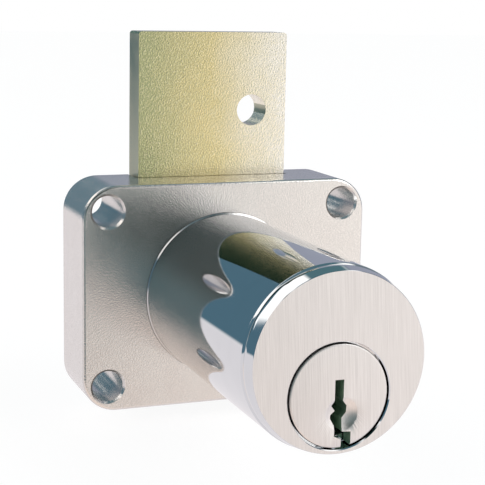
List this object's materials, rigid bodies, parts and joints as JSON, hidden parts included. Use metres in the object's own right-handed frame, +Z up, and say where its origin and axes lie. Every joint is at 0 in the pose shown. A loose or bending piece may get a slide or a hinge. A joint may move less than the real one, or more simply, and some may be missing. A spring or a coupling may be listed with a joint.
{
  "type": "pin-tumbler deadbolt drawer lock",
  "caption": "Pin-tumbler drawer lock: polished barrel with a keyed plug, rectangular case, and a flat deadbolt that a half turn of the key draws in.",
  "frame": {"origin": "on the barrel's axis, in the plane of the case's front face", "axes": "+Z up, the way the bolt comes out; -Y along the barrel towards the key; +X to the right as seen from the key side"},
  "size_m": [0.0424, 0.0517, 0.0527],
  "materials": {
    "satin_nickel": "satin",
    "chrome": "polished",
    "brushed_nickel": "brushed",
    "yellow_zinc": "satin",
    "steel": "satin",
    "brass": "polished",
    "spring_steel": "satin"
  },
  "bodies": {
    "root": {"case_body": "satin_nickel", "back_cover": "steel", "cover_screw_1": "steel", "cover_screw_2": "steel", "cover_screw_3": "steel", "cover_screw_4": "steel", "barrel_sleeve": "chrome", "cylinder_shell": "brushed_nickel", "chamber_strip": "brass", "ring_nut": "steel", "pin_spring_1": "spring_steel", "pin_spring_2": "spring_steel", "pin_spring_3": "spring_steel", "pin_spring_4": "spring_steel", "pin_spring_5": "spring_steel"},
    "plug": {"plug": "brushed_nickel", "crank": "steel", "drive_pin": "steel", "crank_screw": "steel"},
    "bolt": {"bolt": "yellow_zinc"},
    "key_pin_1": {"key_pin_1": "brass"},
    "key_pin_2": {"key_pin_2": "brass"},
    "key_pin_3": {"key_pin_3": "brass"},
    "key_pin_4": {"key_pin_4": "brass"},
    "key_pin_5": {"key_pin_5": "brass"},
    "driver_pin_1": {"driver_pin_1": "steel"},
    "driver_pin_2": {"driver_pin_2": "steel"},
    "driver_pin_3": {"driver_pin_3": "steel"},
    "driver_pin_4": {"driver_pin_4": "steel"},
    "driver_pin_5": {"driver_pin_5": "steel"}
  },
  "joints": [
    {"name": "plug_turn", "type": "hinge", "parent": "root", "child": "plug", "pos_m": [0, 0, -0.004], "axis": [0, 1, 0], "range_deg": [0, 180]},
    {"name": "bolt_slide", "type": "slide", "parent": "root", "child": "bolt", "axis": [0, 0, 1], "range_m": [-0.0196, 0]},
    {"name": "key_pin_1_drop", "type": "slide", "parent": "plug", "child": "key_pin_1", "axis": [0, 0, 1], "range_m": [-0.0012, 0]},
    {"name": "key_pin_2_drop", "type": "slide", "parent": "plug", "child": "key_pin_2", "axis": [0, 0, 1], "range_m": [-0.0012, 0]},
    {"name": "key_pin_3_drop", "type": "slide", "parent": "plug", "child": "key_pin_3", "axis": [0, 0, 1], "range_m": [-0.0012, 0]},
    {"name": "key_pin_4_drop", "type": "slide", "parent": "plug", "child": "key_pin_4", "axis": [0, 0, 1], "range_m": [-0.0012, 0]},
    {"name": "key_pin_5_drop", "type": "slide", "parent": "plug", "child": "key_pin_5", "axis": [0, 0, 1], "range_m": [-0.0012, 0]},
    {"name": "driver_pin_1_lift", "type": "slide", "parent": "root", "child": "driver_pin_1", "axis": [0, 0, 1], "range_m": [0, 0.0012], "stiffness_N_per_m": 60, "deforming": ["pin_spring_1"]},
    {"name": "driver_pin_2_lift", "type": "slide", "parent": "root", "child": "driver_pin_2", "axis": [0, 0, 1], "range_m": [0, 0.0012], "stiffness_N_per_m": 60, "deforming": ["pin_spring_2"]},
    {"name": "driver_pin_3_lift", "type": "slide", "parent": "root", "child": "driver_pin_3", "axis": [0, 0, 1], "range_m": [0, 0.0012], "stiffness_N_per_m": 60, "deforming": ["pin_spring_3"]},
    {"name": "driver_pin_4_lift", "type": "slide", "parent": "root", "child": "driver_pin_4", "axis": [0, 0, 1], "range_m": [0, 0.0012], "stiffness_N_per_m": 60, "deforming": ["pin_spring_4"]},
    {"name": "driver_pin_5_lift", "type": "slide", "parent": "root", "child": "driver_pin_5", "axis": [0, 0, 1], "range_m": [0, 0.0012], "stiffness_N_per_m": 60, "deforming": ["pin_spring_5"]}
  ],
  "couplings": [
    {"joint": "plug_turn", "follows": "bolt_slide", "rad_per_m": -160.28}
  ]
}
